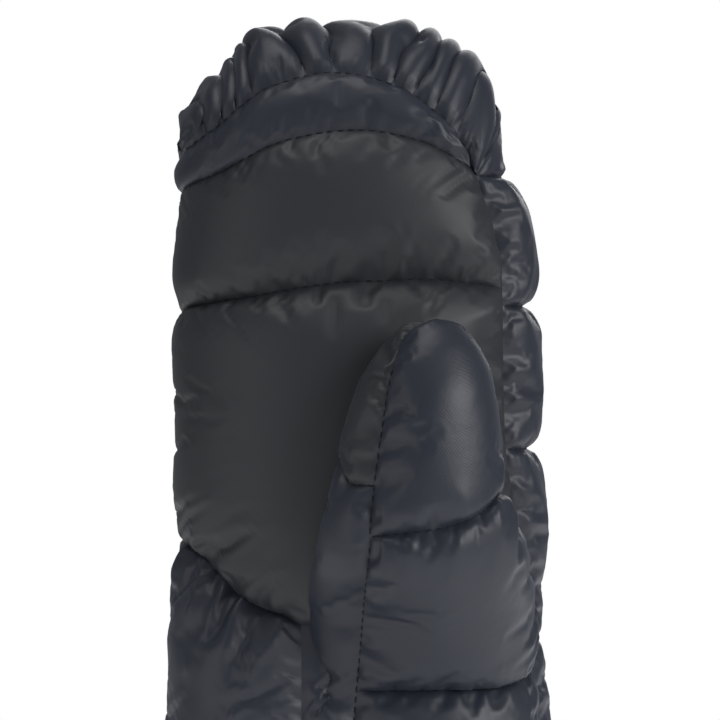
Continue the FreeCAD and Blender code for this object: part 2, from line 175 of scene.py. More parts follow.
UNDER_HEM = 1.8
SEAM_HALF = 0.7
OVER_FINGER_SEAM = 5
UNDER_TIP_SEAM = 5
HEM = top_of("hem_binding") - UNDER_HEM
WRIST = foot_of("hand_back_baffle") + SEAM_HALF
KNUCKLE = foot_of("knuckle_back_baffle")
FINGER_SEAM = foot_of("finger_back_baffle") - OVER_FINGER_SEAM
TIP_SEAM = foot_of("fingertip_back_baffle")
TIP = top_of("fingertip_back_baffle")
DOME_FOOT = TIP_SEAM - UNDER_TIP_SEAM
half_width_at = (
    (0, top_of("hem_binding", 0) - 2.5),
    (42, 65.5),
    (WRIST, 63),
    (110, 61.5),
    (138, top_of("hand_back_baffle", 0)),
    (168, 62),
    (FINGER_SEAM + 5, 61.7),
    (DOME_FOOT, 58),
)
half_depth_at = (
    (0, top_of("hem_binding", 1)),
    (42, 39.5),
    (WRIST, 36),
    (138, top_of("hand_back_baffle", 1)),
    (FINGER_SEAM + 5, top_of("finger_back_baffle", 1)),
    (DOME_FOOT, 33.5),
)
middle_x_at = (
    (0, 1.5),
    (84, 2.2),
    (112, 2.2),
    (150, 0.2),
    (190, -0.3),
    (228, -0.8),
    (DOME_FOOT + 8, -4),
    (TIP, -4.5),
)
print("seam heights, mm:", [round(z) for z in (HEM, WRIST, KNUCKLE, FINGER_SEAM, TIP_SEAM, TIP)])


# %% Smooth lines through a few points
def flow(knots, at):
    """A smooth value between knots (place, value), with no overshoot."""
    places = np.array([k[0] for k in knots], float)
    values = np.array([k[1] for k in knots], float)
    gaps = np.diff(places)
    slopes = np.diff(values) / gaps
    tangents = np.zeros(len(places))
    inner = slopes[1:] * slopes[:-1] > 0
    mean = 2 * slopes[1:] * slopes[:-1] / np.where(inner, slopes[1:] + slopes[:-1], 1)
    tangents[1:-1] = np.where(inner, mean, 0)
    tangents[0], tangents[-1] = slopes[0], slopes[-1]
    at = np.clip(np.asarray(at, float), places[0], places[-1])
    i = np.clip(np.searchsorted(places, at) - 1, 0, len(gaps) - 1)
    t = (at - places[i]) / gaps[i]
    start = (1 + 2 * t) * (1 - t) ** 2 * values[i] + t * (1 - t) ** 2 * gaps[i] * tangents[i]
    end = t * t * (3 - 2 * t) * values[i + 1] - t * t * (1 - t) * gaps[i] * tangents[i + 1]
    return start + end


def rise(low, high, at):
    """0 up to low, 1 from high on, and an even curve between."""
    t = np.clip((np.asarray(at, float) - low) / (high - low), 0, 1)
    return t * t * (3 - 2 * t)


# %% The hand's rounds
FLATNESS = 2.35
FRONT_INSET = 2.5
BACK_INSET = 5.0
EDGE_RELIEF = 2.4
LITTLE_FINGER_EDGE = (50, 88)
BEHIND_EDGE = (106, 150)
BEHIND_THUMB_SIDE = (40, 100)


def dome_share(z):
    over = np.clip((z - DOME_FOOT) / (TIP - DOME_FOOT), 0, 0.9999)
    return np.sqrt(1 - over**2)


def seam_inset(angle):
    """How far the seams lie inside the form: little on the palm, more where the back puffs."""
    turned = (np.asarray(angle, float) + 180) % 360 - 180
    edge = rise(*LITTLE_FINGER_EDGE, -turned) * (1 - rise(*BEHIND_EDGE, -turned))
    back = np.maximum(rise(*BEHIND_THUMB_SIDE, turned), rise(*BEHIND_EDGE, -turned))
    return FRONT_INSET + (BACK_INSET - FRONT_INSET) * back - EDGE_RELIEF * edge


def hand_form(angle, z):
    """A point on the form: angle 0 faces the palm side, 90 is the thumb's side."""
    angle, z = np.broadcast_arrays(np.asarray(angle, float), np.asarray(z, float))
    inset = seam_inset(angle)
    wide = flow(half_width_at, z) * dome_share(z) - inset
    deep = flow(half_depth_at, z) * dome_share(z) - inset
    sine, cosine = np.sin(np.radians(angle)), np.cos(np.radians(angle))
    x = flow(middle_x_at, z) + wide * np.sign(sine) * np.abs(sine) ** (2 / FLATNESS)
    y = -deep * np.sign(cosine) * np.abs(cosine) ** (2 / FLATNESS)
    return np.stack([x, y, z], -1)


def angle_at(x, z):
    """The angle on the palm side whose point has this x."""
    share = np.zeros(np.shape(x))
    for _ in range(3):
        angle = np.degrees(np.arcsin(np.sign(share) * np.abs(share) ** (FLATNESS / 2)))
        wide = flow(half_width_at, z) * dome_share(z) - seam_inset(angle)
        share = np.clip((x - flow(middle_x_at, z)) / wide, -1, 1)
    return np.degrees(np.arcsin(np.sign(share) * np.abs(share) ** (FLATNESS / 2)))


# %% [markdown]
# ## Where the long seams run
# The palm meets the back at two long side seams. On the little finger's side the seam hides
# just behind the edge. On the thumb's side it comes forward over the palm, so the back's
# quilted baffles show there as bulges. Each seam is one line that both its panels share.

# %% Side seams and the long thumb seam
LITTLE_FINGER_SIDE = -101
thumb_side_at = (
    (0, 84),
    (WRIST, 82),
    (105, 76),
    (125, 62),
    (KNUCKLE, 55),
    (FINGER_SEAM + 12, 55.5),
    (230, 53),
    (TIP_SEAM + 2, 51),
    (TIP, 51),
)


def side_span(z):
    return LITTLE_FINGER_SIDE, flow(thumb_side_at, z)


def front_place(across, z):
    near, far = side_span(z)
    return hand_form(near + across * (far - near), z)


def back_place(across, z):
    near, far = side_span(z)
    return hand_form(far + across * (near + 360 - far), z)


def across_front(x, z):
    near, far = side_span(np.asarray(z, float))
    return (angle_at(np.asarray(x, float), np.asarray(z, float)) - near) / (far - near)


def seam_line(points):
    """Turns a seam given by its (x, z) points into height over the share across."""
    xs = np.array([p[0] for p in points], float)
    zs = np.array([p[1] for p in points], float)
    shares = across_front(xs, zs)
    shares[0], shares[-1] = 0, 1
    return tuple(zip(shares, zs))


# %% [markdown]
# ## The thumb's form
# The thumb is cut from its own tube. Low on the mitten it is only a swelling of the palm side,
# higher up it leaves the hand and becomes a closed tube that ends in a round tip. One function
# gives both: it slides from the hand's form to the tube as it climbs.

# %% Thumb rounds
THUMB_TIP = top_of("thumb_outer_panel") - 2.8
thumb_middle_x_at = (
    (60, 22), (98, 23), (113, 22.8), (128, 20.5), (138, 20), (168, 22), (185, 24), (THUMB_TIP, 25),
)
thumb_middle_y_at = ((60, -12), (98, -29), (113, -48), (128, -56.5), (168, -57.5), (THUMB_TIP, -56))
thumb_half_width_at = (
    (60, 34), (98, 38), (113, 35.5), (128, 30), (138, 27), (168, 20.5), (181, 15.5),
    (THUMB_TIP - 5, 10.5), (THUMB_TIP - 1.5, 5.6), (THUMB_TIP, 0.5),
)
thumb_half_depth_at = (
    (60, 25), (98, 31), (113, 25.5), (128, 18.5), (168, 16), (181, 12.5),
    (THUMB_TIP - 5, 8.8), (THUMB_TIP - 1.5, 4.8), (THUMB_TIP, 0.5),
)
LONG_SEAM_LOW = -2.0
long_seam_angle_at = ((60, -36), (128, -33), (155, -35), (172, -40), (186, -52), (THUMB_TIP, -58))
THUMB_BACK_SEAM = 140
HIDDEN_SEAM_X = -19.5
LONG_SEAM_LEAVES = (46, 104)
INNER_EDGE_LEAVES = (91, 126)
OUTER_EDGE_LEAVES = (104, 136)


def thumb_tube(angle, z):
    sine, cosine = np.sin(np.radians(angle)), np.cos(np.radians(angle))
    x = flow(thumb_middle_x_at, z) + flow(thumb_half_width_at, z) * sine
    y = flow(thumb_middle_y_at, z) - flow(thumb_half_depth_at, z) * cosine
    return np.stack([x, y, z + 0 * x], -1)


def thumb_place(turn, z):
    """turn -1 is the inner edge, 0 the long seam, 1 the edge behind the thumb."""
    turn, z = np.broadcast_arrays(np.asarray(turn, float), np.asarray(z, float))
    inner = np.clip(-turn, 0, 1)
    outer = np.clip(turn, 0, 1)
    seam_angle = flow(long_seam_angle_at, z)
    tube_angle = seam_angle + outer * (THUMB_BACK_SEAM - seam_angle)
    tube_angle = tube_angle - inner * (360 - THUMB_BACK_SEAM + seam_angle)
    left = angle_at(HIDDEN_SEAM_X + 0 * z, z)
    middle = angle_at(LONG_SEAM_LOW + 0 * z, z)
    right = side_span(z)[1]
    hand_angle = middle + outer * (right - middle) + inner * (left - middle)
    middle_share = rise(*LONG_SEAM_LEAVES, z)
    edge_share = np.where(turn < 0, rise(*INNER_EDGE_LEAVES, z), rise(*OUTER_EDGE_LEAVES, z))
    share = edge_share + (middle_share - edge_share) * (1 - np.abs(turn)) ** 0.6
    share = share[..., None]
    return hand_form(hand_angle, z) * (1 - share) + thumb_tube(tube_angle, z) * share


# %% [markdown]
# ## Cutting, gathering and filling one panel
# A panel is a grid of cloth between four seams. It is first laid on its form. Then it is
# raised a little and rippled where the seam gathers it, which gives it more cloth than the
# seam is long. The Cloth simulation with pressure blows it up against its sewn edges, and that
# is what a filled panel does. The settled grid is read back, made finer, and gets its small
# puckers along the stitches.

# %% Measuring a grid
def outward(grid, core):
    """Unit directions that point away from the core, for each grid point."""
    along, up = np.gradient(grid, axis=0), np.gradient(grid, axis=1)
    facing = np.cross(along, up)
    facing /= np.maximum(np.linalg.norm(facing, axis=-1, keepdims=True), 1e-9)
    if (facing * (grid - core(grid))).sum() < 0:
        return -facing
    return facing


def edge_distances(grid):
    """Millimetres from the bottom, top, first and last seams, along the cloth."""
    steps_up = np.linalg.norm(np.diff(grid, axis=1), axis=-1)
    steps_on = np.linalg.norm(np.diff(grid, axis=0), axis=-1)
    up = np.concatenate([np.zeros((len(grid), 1)), np.cumsum(steps_up, 1)], 1)
    on = np.concatenate([np.zeros((1, grid.shape[1])), np.cumsum(steps_on, 0)], 0)
    return {"bottom": up, "top": up[:, -1:] - up, "first": on, "last": on[-1:] - on}


def hand_core(grid):
    return np.stack([flow(middle_x_at, grid[..., 2]), 0 * grid[..., 1], grid[..., 2] - 4], -1)


def thumb_core(grid):
    z = grid[..., 2]
    return np.stack([flow(thumb_middle_x_at, z), flow(thumb_middle_y_at, z), z - 4], -1)


# %% Ripples that a gathered seam makes
FOLD_LEAN = 0.35
FOLD_WARP = 0.3
FOLD_SHARPNESS = 1.7
FOLD_UNEVENNESS = 0.55
FOLD_START = 1.6


def wander(along, pitch, draw):
    """A seeded, uneven wave between about -1 and 1."""
    wave = np.zeros_like(along)
    for stretch in (0.71, 1.0, 1.43):
        wave += np.sin(2 * np.pi * along / (pitch * stretch) + draw.uniform(0, 2 * np.pi))
    return wave / 2.2


def gather(distance, along, pitch, height, reach, draw):
    """Folds that start at a seam and run out into the panel, each to its own length."""
    lean = FOLD_LEAN * wander(along, pitch * 5, draw) * distance
    warp = along + lean + FOLD_WARP * pitch * wander(along, pitch * 4, draw)
    folds = 1 - FOLD_SHARPNESS * np.abs(np.sin(np.pi * warp / pitch + draw.uniform(0, 3)))
    length = reach * (1 + FOLD_UNEVENNESS * wander(along, pitch * 2.3, draw))
    fade = np.exp(-((distance / np.maximum(length, 1)) ** 1.5))
    start = 1 - np.exp(-distance / FOLD_START)
    return height * folds * fade * start


# %% Blowing a panel up
SIM_SCALE = 10
SETTLING_FRAMES = 22


def blow_up(grid, core_points, pressure, growth, bending):
    """Cloth with air pressure, held at its rim. It works ten times larger, where cloth is steady."""
    columns, rows = grid.shape[:2]
    mesh = bpy.data.meshes.new("cut_cloth")
    index = np.arange(columns * rows).reshape(columns, rows)
    quads = np.stack([index[:-1, :-1], index[1:, :-1], index[1:, 1:], index[:-1, 1:]], -1)
    facing = outward(grid, lambda g: core_points)
    along, up = np.gradient(grid, axis=0), np.gradient(grid, axis=1)
    if (np.cross(along, up) * facing).sum() < 0:
        quads = quads[..., ::-1]
    points = grid.reshape(-1, 3) * MM * SIM_SCALE
    mesh.from_pydata(points.tolist(), [], quads.reshape(-1, 4).tolist())
    cloth_piece = bpy.data.objects.new("cut_cloth", mesh)
    scene.collection.objects.link(cloth_piece)
    sewn = cloth_piece.vertex_groups.new(name="sewn")
    rim = np.ones((columns, rows), bool)
    rim[1:-1, 1:-1] = False
    sewn.add(index[rim].tolist(), 1.0, "REPLACE")
    cloth = cloth_piece.modifiers.new("Cloth", "CLOTH")
    cloth.point_cache.frame_start = 1
    cloth.point_cache.frame_end = SETTLING_FRAMES
    settings = cloth.settings
    settings.quality = 5
    settings.mass = 0.3
    settings.tension_stiffness = settings.compression_stiffness = 15
    settings.shear_stiffness = 5
    settings.bending_stiffness = bending
    settings.tension_damping = settings.compression_damping = settings.shear_damping = 5
    settings.bending_damping = 0.5
    settings.air_damping = 1
    settings.use_pressure = True
    settings.uniform_pressure_force = pressure
    settings.shrink_min = -growth
    settings.vertex_group_mass = "sewn"
    settings.effector_weights.gravity = 0
    cloth.collision_settings.use_self_collision = False
    for step in range(1, SETTLING_FRAMES + 1):
        scene.frame_set(step)
    settled = cloth_piece.evaluated_get(bpy.context.evaluated_depsgraph_get())
    flat = np.empty(columns * rows * 3)
    settled.data.vertices.foreach_get("co", flat)
    scene.frame_set(1)
    bpy.data.objects.remove(cloth_piece)
    bpy.data.meshes.remove(mesh)
    return flat.reshape(columns, rows, 3) / MM / SIM_SCALE


def finer(grid):
    """Twice the grid lines, on smooth curves through the old ones."""
    for axis in (0, 1):
        g = np.moveaxis(grid, axis, 0)
        padded = np.concatenate([2 * g[:1] - g[1:2], g, 2 * g[-1:] - g[-2:-1]])
        between = (9 * (padded[1:-2] + padded[2:-1]) - padded[:-3] - padded[3:]) / 16
        out = np.empty((2 * len(g) - 1, *g.shape[1:]))
        out[::2], out[1::2] = g, between
        grid = np.moveaxis(out, 0, axis)
    return grid


# %% [markdown]
# ## Cloth finishes
# The shell is a satin nylon in a dark slate blue: smooth, a little shiny along the folds, with
# a very fine weave. The palm, the crease and the thumb's grip patch are a charcoal grip cloth,
# duller and more even. The thread is nearly black and the lining is a brushed fleece.

# %% A finish from nodes
PATCH_SCALE = 24
CREASE_SCALE = 110
FULL_TURN = 6.2832


def finish_of(name, colour, worn, rough, sheen, weave, weave_depth, crinkle, gloss=0.5):
    """weave, weave_depth and crinkle are in millimetres. worn is the colour in the patches."""
    paint = bpy.data.materials.new(name)
    paint.use_nodes = True
    tree = paint.node_tree
    shader = tree.nodes["Principled BSDF"]
    shader.inputs["Specular IOR Level"].default_value = gloss
    shader.inputs["Sheen Weight"].default_value = sheen
    shader.inputs["Sheen Roughness"].default_value = 0.45
    shader.inputs["Sheen Tint"].default_value = (*[min(1, 0.35 + 6 * c) for c in colour], 1)
    place = tree.nodes.new("ShaderNodeTexCoord")
    patches = tree.nodes.new("ShaderNodeTexNoise")
    patches.inputs["Scale"].default_value = PATCH_SCALE
    patches.inputs["Detail"].default_value = 4
    mixed = tree.nodes.new("ShaderNodeMix")
    mixed.data_type = "RGBA"
    mixed.inputs["A"].default_value = (*colour, 1)
    mixed.inputs["B"].default_value = (*worn, 1)
    tree.links.new(place.outputs["Object"], patches.inputs["Vector"])
    tree.links.new(patches.outputs["Fac"], mixed.inputs["Factor"])
    tree.links.new(mixed.outputs["Result"], shader.inputs["Base Color"])
    dull = tree.nodes.new("ShaderNodeMapRange")
    dull.inputs["To Min"].default_value = rough - 0.05
    dull.inputs["To Max"].default_value = rough + 0.07
    tree.links.new(patches.outputs["Fac"], dull.inputs["Value"])
    tree.links.new(dull.outputs["Result"], shader.inputs["Roughness"])
    creases = tree.nodes.new("ShaderNodeTexNoise")
    creases.inputs["Scale"].default_value = CREASE_SCALE
    creases.inputs["Detail"].default_value = 3
    creases.inputs["Roughness"].default_value = 0.55
    tree.links.new(place.outputs["Object"], creases.inputs["Vector"])
    crinkles = tree.nodes.new("ShaderNodeBump")
    crinkles.inputs["Strength"].default_value = 1.0
    crinkles.inputs["Distance"].default_value = crinkle * MM
    tree.links.new(creases.outputs["Fac"], crinkles.inputs["Height"])
    threads = tree.nodes.new("ShaderNodeTexWave")
    threads.bands_direction = "DIAGONAL"
    threads.inputs["Scale"].default_value = 1 / (weave * MM) / FULL_TURN * 2
    threads.inputs["Distortion"].default_value = 1.2
    threads.inputs["Detail"].default_value = 1
    tree.links.new(place.outputs["UV"], threads.inputs["Vector"])
    woven = tree.nodes.new("ShaderNodeBump")
    woven.inputs["Strength"].default_value = 0.6
    woven.inputs["Distance"].default_value = weave_depth * MM
    tree.links.new(threads.outputs["Fac"], woven.inputs["Height"])
    tree.links.new(crinkles.outputs["Normal"], woven.inputs["Normal"])
    tree.links.new(woven.outputs["Normal"], shader.inputs["Normal"])
    return paint


SHELL = finish_of(
    "slate_satin_nylon", (0.023, 0.027, 0.041), worn=(0.018, 0.021, 0.032),
    rough=0.42, sheen=0.08, weave=0.5, weave_depth=0.02, crinkle=0.22,
)
GRIP = finish_of(
    "charcoal_grip_cloth", (0.026, 0.028, 0.033), worn=(0.021, 0.023, 0.027),
    rough=0.48, sheen=0.06, weave=0.7, weave_depth=0.015, crinkle=0.08,
)
HEM_CLOTH = finish_of(
    "hem_nylon", (0.022, 0.026, 0.037), worn=(0.018, 0.021, 0.030),
    rough=0.5, sheen=0.15, weave=0.7, weave_depth=0.05, crinkle=0.15,
)
FLEECE = finish_of(
    "brushed_fleece", (0.045, 0.048, 0.056), worn=(0.025, 0.027, 0.033),
    rough=0.95, sheen=0.9, weave=1.4, weave_depth=0.3, crinkle=0.9, gloss=0.1,
)
THREAD = finish_of(
    "seam_thread", (0.008, 0.009, 0.012), worn=(0.005, 0.006, 0.008),
    rough=0.6, sheen=0.1, weave=0.3, weave_depth=0.05, crinkle=0.02, gloss=0.3,
)
ELASTIC = finish_of(
    "woven_elastic", (0.02, 0.02, 0.022), worn=(0.012, 0.012, 0.013),
    rough=0.8, sheen=0.3, weave=1.0, weave_depth=0.2, crinkle=0.1, gloss=0.2,
)
LABEL = finish_of(
    "label_tape", (0.55, 0.55, 0.54), worn=(0.48, 0.48, 0.47),
    rough=0.6, sheen=0.2, weave=0.4, weave_depth=0.03, crinkle=0.03, gloss=0.3,
)
print("finishes:", [m.name for m in bpy.data.materials])


# %% [markdown]
# ## Sewing the panel into the mitten
# The finished grid becomes a mesh with its own weave directions. A panel that crosses a joint
# is named by that joint's zone: it keeps its place in the world with no parent, while any
# other panel is parented to its body.

# %% Joint zones
BENDS = {
    "bend_wrist": ("cuff", "hand", (0, 0, 40 * MM), (0, 0, 84 * MM)),
    "bend_fingers": ("hand", "fingers", (0, 0, 165 * MM), (0, 0, 236 * MM)),
    "bend_thumb": ("hand", "thumb", (21 * MM, 0, 126 * MM), (13.7 * MM, 0, 160 * MM)),
}
made = {}


def grid_mesh(name, grid, facing_core, paint, close_round=False):
    columns, rows = grid.shape[:2]
    index = np.arange(columns * rows).reshape(columns, rows)
    if close_round:
        index = np.concatenate([index, index[:1]])
    quads = np.stack([index[:-1, :-1], index[1:, :-1], index[1:, 1:], index[:-1, 1:]], -1)
    along, up = np.gradient(grid, axis=0), np.gradient(grid, axis=1)
    if (np.cross(along, up) * (grid - facing_core(grid))).sum() < 0:
        quads = quads[..., ::-1]
    quads = quads.reshape(-1, 4)
    mesh = bpy.data.meshes.new(name)
    mesh.from_pydata((grid.reshape(-1, 3) * MM).tolist(), [], quads.tolist())
    reach = edge_distances(grid)
    flat = np.stack([reach["first"], reach["bottom"]], -1).reshape(-1, 2) * MM
    weave_map = mesh.uv_layers.new(name="weave")
    corners = np.empty(len(mesh.loops), int)
    mesh.loops.foreach_get("vertex_index", corners)
    weave_map.data.foreach_set("uv", flat[corners].ravel())
    mesh.polygons.foreach_set("use_smooth", [True] * len(mesh.polygons))
    mesh.materials.append(paint)
    piece = bpy.data.objects.new(name, mesh)
    scene.collection.objects.link(piece)
    return piece


def place_piece(piece, moves):
    if moves in BENDS:
        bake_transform(piece)
    else:
        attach(piece, moves)


def lay_out(place, low, high, columns, rows, first=0.0, last=1.0, crowd=1.0):
    """A grid between the seam heights low and high, over the share across."""
    share = np.linspace(first, last, columns)[:, None]
    step = np.linspace(0, 1, rows)[None, :]
    step = 1 - (1 - step) ** crowd
    bottom = flow(low, share) if isinstance(low, tuple) else low + 0 * share
    top = flow(high, share) if isinstance(high, tuple) else high + 0 * share
    return place(share + 0 * step, bottom + step * (top - bottom))


CALM_REACH = {"first": 7, "last": 7, "bottom": 4, "top": 4}
DIP_REACH = 7


def raise_panel(grid, core, height, shoulders, gathers, seed, dips=()):
    """Lifts the cloth between its seams and gathers it along them, calmly near the corners."""
    draw = np.random.default_rng(seed)
    away = outward(grid, core)
    reach = edge_distances(grid)
    crown = np.ones(grid.shape[:2])
    for side, width in shoulders.items():
        inside = np.clip(reach[side] / width, 0, 1)
        crown *= np.sqrt(1 - (1 - inside) ** 2)
    lift = height * crown
    awake = {side: 1 - np.exp(-((reach[side] / far) ** 2)) for side, far in CALM_REACH.items()}
    corners = awake["first"] * awake["last"]
    ends = awake["bottom"] * awake["top"]
    for side, pitch, tall, far in gathers:
        along = reach["first"] if side in ("bottom", "top") else reach["bottom"]
        calm = corners if side in ("bottom", "top") else ends
        lift = lift + calm * crown**0.5 * gather(reach[side], along, pitch, tall, far, draw)
    for side, deep in dips:
        lift = lift - deep * np.exp(-((reach[side] / DIP_REACH) ** 2)) * corners
    return grid + away * lift[..., None]


def sew_panel(name, grid, core, paint, moves, nodes, height, shoulders,
              gathers, puckers, seed, pressure=2.5, growth=0.04, dips=()):
    """Gathers and puckers are rows of: along which seam, spacing, height, how far they run."""
    raised = raise_panel(grid, core, height, shoulders, gathers, seed, dips)
    raised = blow_up(raised, core(grid), pressure, growth, bending=0.1)
    raised = finer(raised)
    raised = raise_panel(raised, core, 0, {}, puckers, seed + 100)
    made[name] = raised
    piece = grid_mesh(name, raised, core, paint)
    place_piece(piece, moves)
    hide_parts(*nodes)
    bulge = float(np.abs(raised - finer(grid)).max())
    print(name, "grid", raised.shape[:2], "bulge, mm", round(bulge, 1))


# %% [markdown]
# ## The palm side
# Three smooth panels show here: the slate cap over the fingertips, and the grip cloth above and
# below the finger crease. They are stretched flatter than the back, so the filling only rounds
# their shoulders, and the crease pulls the cloth in by a few millimetres.

# %% Seam lines of the palm side
cap_edge = seam_line((
    (-60, 247.7), (-50, 261), (-30, 275.5), (-9, 280.3), (12, 276), (31, 262.5), (41.7, 246),
))
cap_seam = seam_line((
    (-60, 238), (-48, 246), (-24, 257), (0, 260.3), (20, 257), (33, 251), (41.7, 245.8),
))
crease = seam_line((
    (-62, 198), (-40, 203), (-19, 206.6), (-2, 208.5), (24, 209.3), (40, 208), (49, 206.5),
))
wrist_foot = (
    (-60, 122), (-53, 113.5), (-48.5, 109), (-38.6, 99.5), (-33.5, 97.2), (-25, 94), (-18.9, 91.3),
)
palm_foot = seam_line(wrist_foot + ((-8, 92.5), (10, 95), (35, 100), (55, 104)))

# %% Fingertip cap
sew_panel(
    "fingertip_cap", lay_out(front_place, cap_seam, cap_edge, 68, 15), hand_core, SHELL,
    "fingers", ["fingertip_cap_panel", "fingers_palm_fill"], 3.0,
    {"bottom": 12, "top": 12, "first": 10, "last": 14},
    [("top", 15, 0.5, 6), ("bottom", 26, 0.3, 5)],
    [("top", 3.6, 0.22, 3), ("bottom", 3.4, 0.18, 2.5)],
    seed=11, pressure=2.0, growth=0.015,
)

# %% Palm above the crease
sew_panel(
    "palm_above_crease", lay_out(front_place, crease, cap_seam, 68, 26), hand_core, GRIP,
    "bend_fingers", ["palm_upper_panel"], 3.0,
    {"bottom": 12, "top": 16, "first": 40, "last": 12},
    [("bottom", 19, 0.6, 8), ("last", 17, 1.0, 16), ("top", 30, 0.3, 8)],
    [("bottom", 3.6, 0.30, 4), ("top", 3.4, 0.2, 3), ("last", 4, 0.25, 4)],
    seed=12, growth=0.03, dips=(("bottom", 2.0),),
)

# %% Palm below the crease
sew_panel(
    "palm_below_crease", lay_out(front_place, palm_foot, crease, 68, 52), hand_core, GRIP,
    "bend_fingers", ["palm_lower_panel", "hand_palm_fill"], 3.5,
    {"top": 12, "bottom": 14, "first": 40, "last": 10},
    [("bottom", 12, 1.5, 15), ("last", 15, 1.0, 14), ("top", 21, 0.4, 7)],
    [("top", 3.6, 0.30, 4), ("bottom", 4, 0.35, 5), ("last", 4, 0.25, 4)],
    seed=13, growth=0.035, dips=(("top", 2.0),),
)

# %% [markdown]
# ## The navy section under the palm
# Its top edge is gathered into the palm, so folds fan down from there into the cuff. Its inner
# edge is the hidden side of the thumb's strip, and both follow the same line.

# %% Wrist and cuff, palm side
def wrist_place(across, z):
    near = side_span(z)[0]
    far = angle_at(HIDDEN_SEAM_X + 0 * z, z)
    laid = hand_form(near + across * (far - near), z)
    missing = thumb_place(-1 + 0 * z, z) - hand_form(far, z)
    return laid + missing * (across**3)[..., None]


wrist_xs, wrist_zs = np.array(wrist_foot).T
near_angle, far_angle = side_span(wrist_zs)[0], angle_at(HIDDEN_SEAM_X + 0 * wrist_zs, wrist_zs)
wrist_shares = (angle_at(wrist_xs, wrist_zs) - near_angle) / (far_angle - near_angle)
wrist_shares[0], wrist_shares[-1] = 0, 1
wrist_top = tuple(zip(wrist_shares, wrist_zs))
sew_panel(
    "wrist_panel", lay_out(wrist_place, HEM, wrist_top, 36, 46), hand_core, SHELL, "bend_wrist",
    ["wrist_palm_panel", "cuff_palm_panel", "cuff_palm_fill"], 3.5,
    {"top": 16, "bottom": 14, "first": 14, "last": 12},
    [("top", 12, 2.6, 44), ("bottom", 10, 1.0, 12), ("last", 21, 0.6, 8)],
    [("top", 4, 0.4, 6), ("bottom", 4, 0.3, 4), ("last", 4, 0.25, 4)],
    seed=14,
)

# %% [markdown]
# ## The back, quilted across
# The back is one warm, thick layer, sewn through across the hand. Between two seams the filling
# stands up as a baffle, and the seam pulls short folds into it. At the thumb's side the
# baffles show beside the palm as bulges.

# %% Back baffles
def sew_baffle(name, low, high, rows, moves, nodes, seed, height=4.6):
    grid = lay_out(back_place, low, high, 104, rows)
    shoulders = {"top": (high - low) / 2, "bottom": (high - low) / 2, "first": 13, "last": 22}
    sew_panel(
        name, grid, hand_core, SHELL, moves, nodes, height, shoulders,
        [("bottom", 12, 1.6, 15), ("top", 12, 1.6, 15), ("first", 13, 1.0, 10), ("last", 15, 0.8, 9)],
        [("bottom", 3.8, 0.35, 5), ("top", 3.8, 0.35, 5), ("first", 4, 0.3, 5), ("last", 4, 0.25, 4)],
        seed=seed, pressure=3.0, growth=0.045,
    )


sew_baffle("finger_baffle", FINGER_SEAM, TIP_SEAM, 22, "bend_fingers", ["finger_back_baffle"], 21)
sew_baffle(
    "knuckle_baffle", KNUCKLE, FINGER_SEAM, 24, "bend_fingers", ["knuckle_back_baffle"], 22
)
sew_baffle(
    "hand_baffle", WRIST, KNUCKLE, 30, "hand", ["hand_back_baffle", "hand_back_fill"], 23
)
sew_baffle(
    "cuff_baffle", HEM, WRIST, 32, "bend_wrist", ["cuff_back_panel", "cuff_back_fill"], 24, 5.0
)

# %% [markdown]
# ## The gathered ruffle over the fingertips
# The topmost baffle runs up the back, over the fingertips and down to the cap's edge. There it
# is gathered hard, because an outer curve has to shrink onto a shorter one, so it stands in
# deep rounded folds like a cuff of a puff sleeve. The cloth is laid over the rim with those
# folds already in it, and the pressure rounds them.

# %% Fingertip ruffle
RUFFLE_INSET = 4.0
RUFFLE_FOLDS = 13
FOLD_TALL = 3.9
ROUNDING = 0.78
RIM_AT = 0.42
THUMB_SIDE_WIDER = 0.5
LITTLE_FINGER_SIDE_NARROWER = 7.5
SHOULDER_RISE = 2.5
back_angle_at = ((0, -330), (18, -305), (90, -180), (165, -102), (180, -95))
EDGE_SAMPLES = 400

edge_shares = np.linspace(0, 1, EDGE_SAMPLES)
edge_walk = front_place(edge_shares, flow(cap_edge, edge_shares))
edge_length = np.concatenate([[0], np.cumsum(np.linalg.norm(np.diff(edge_walk, axis=0), axis=-1))])
print("cap edge, mm:", round(float(edge_length[-1])))


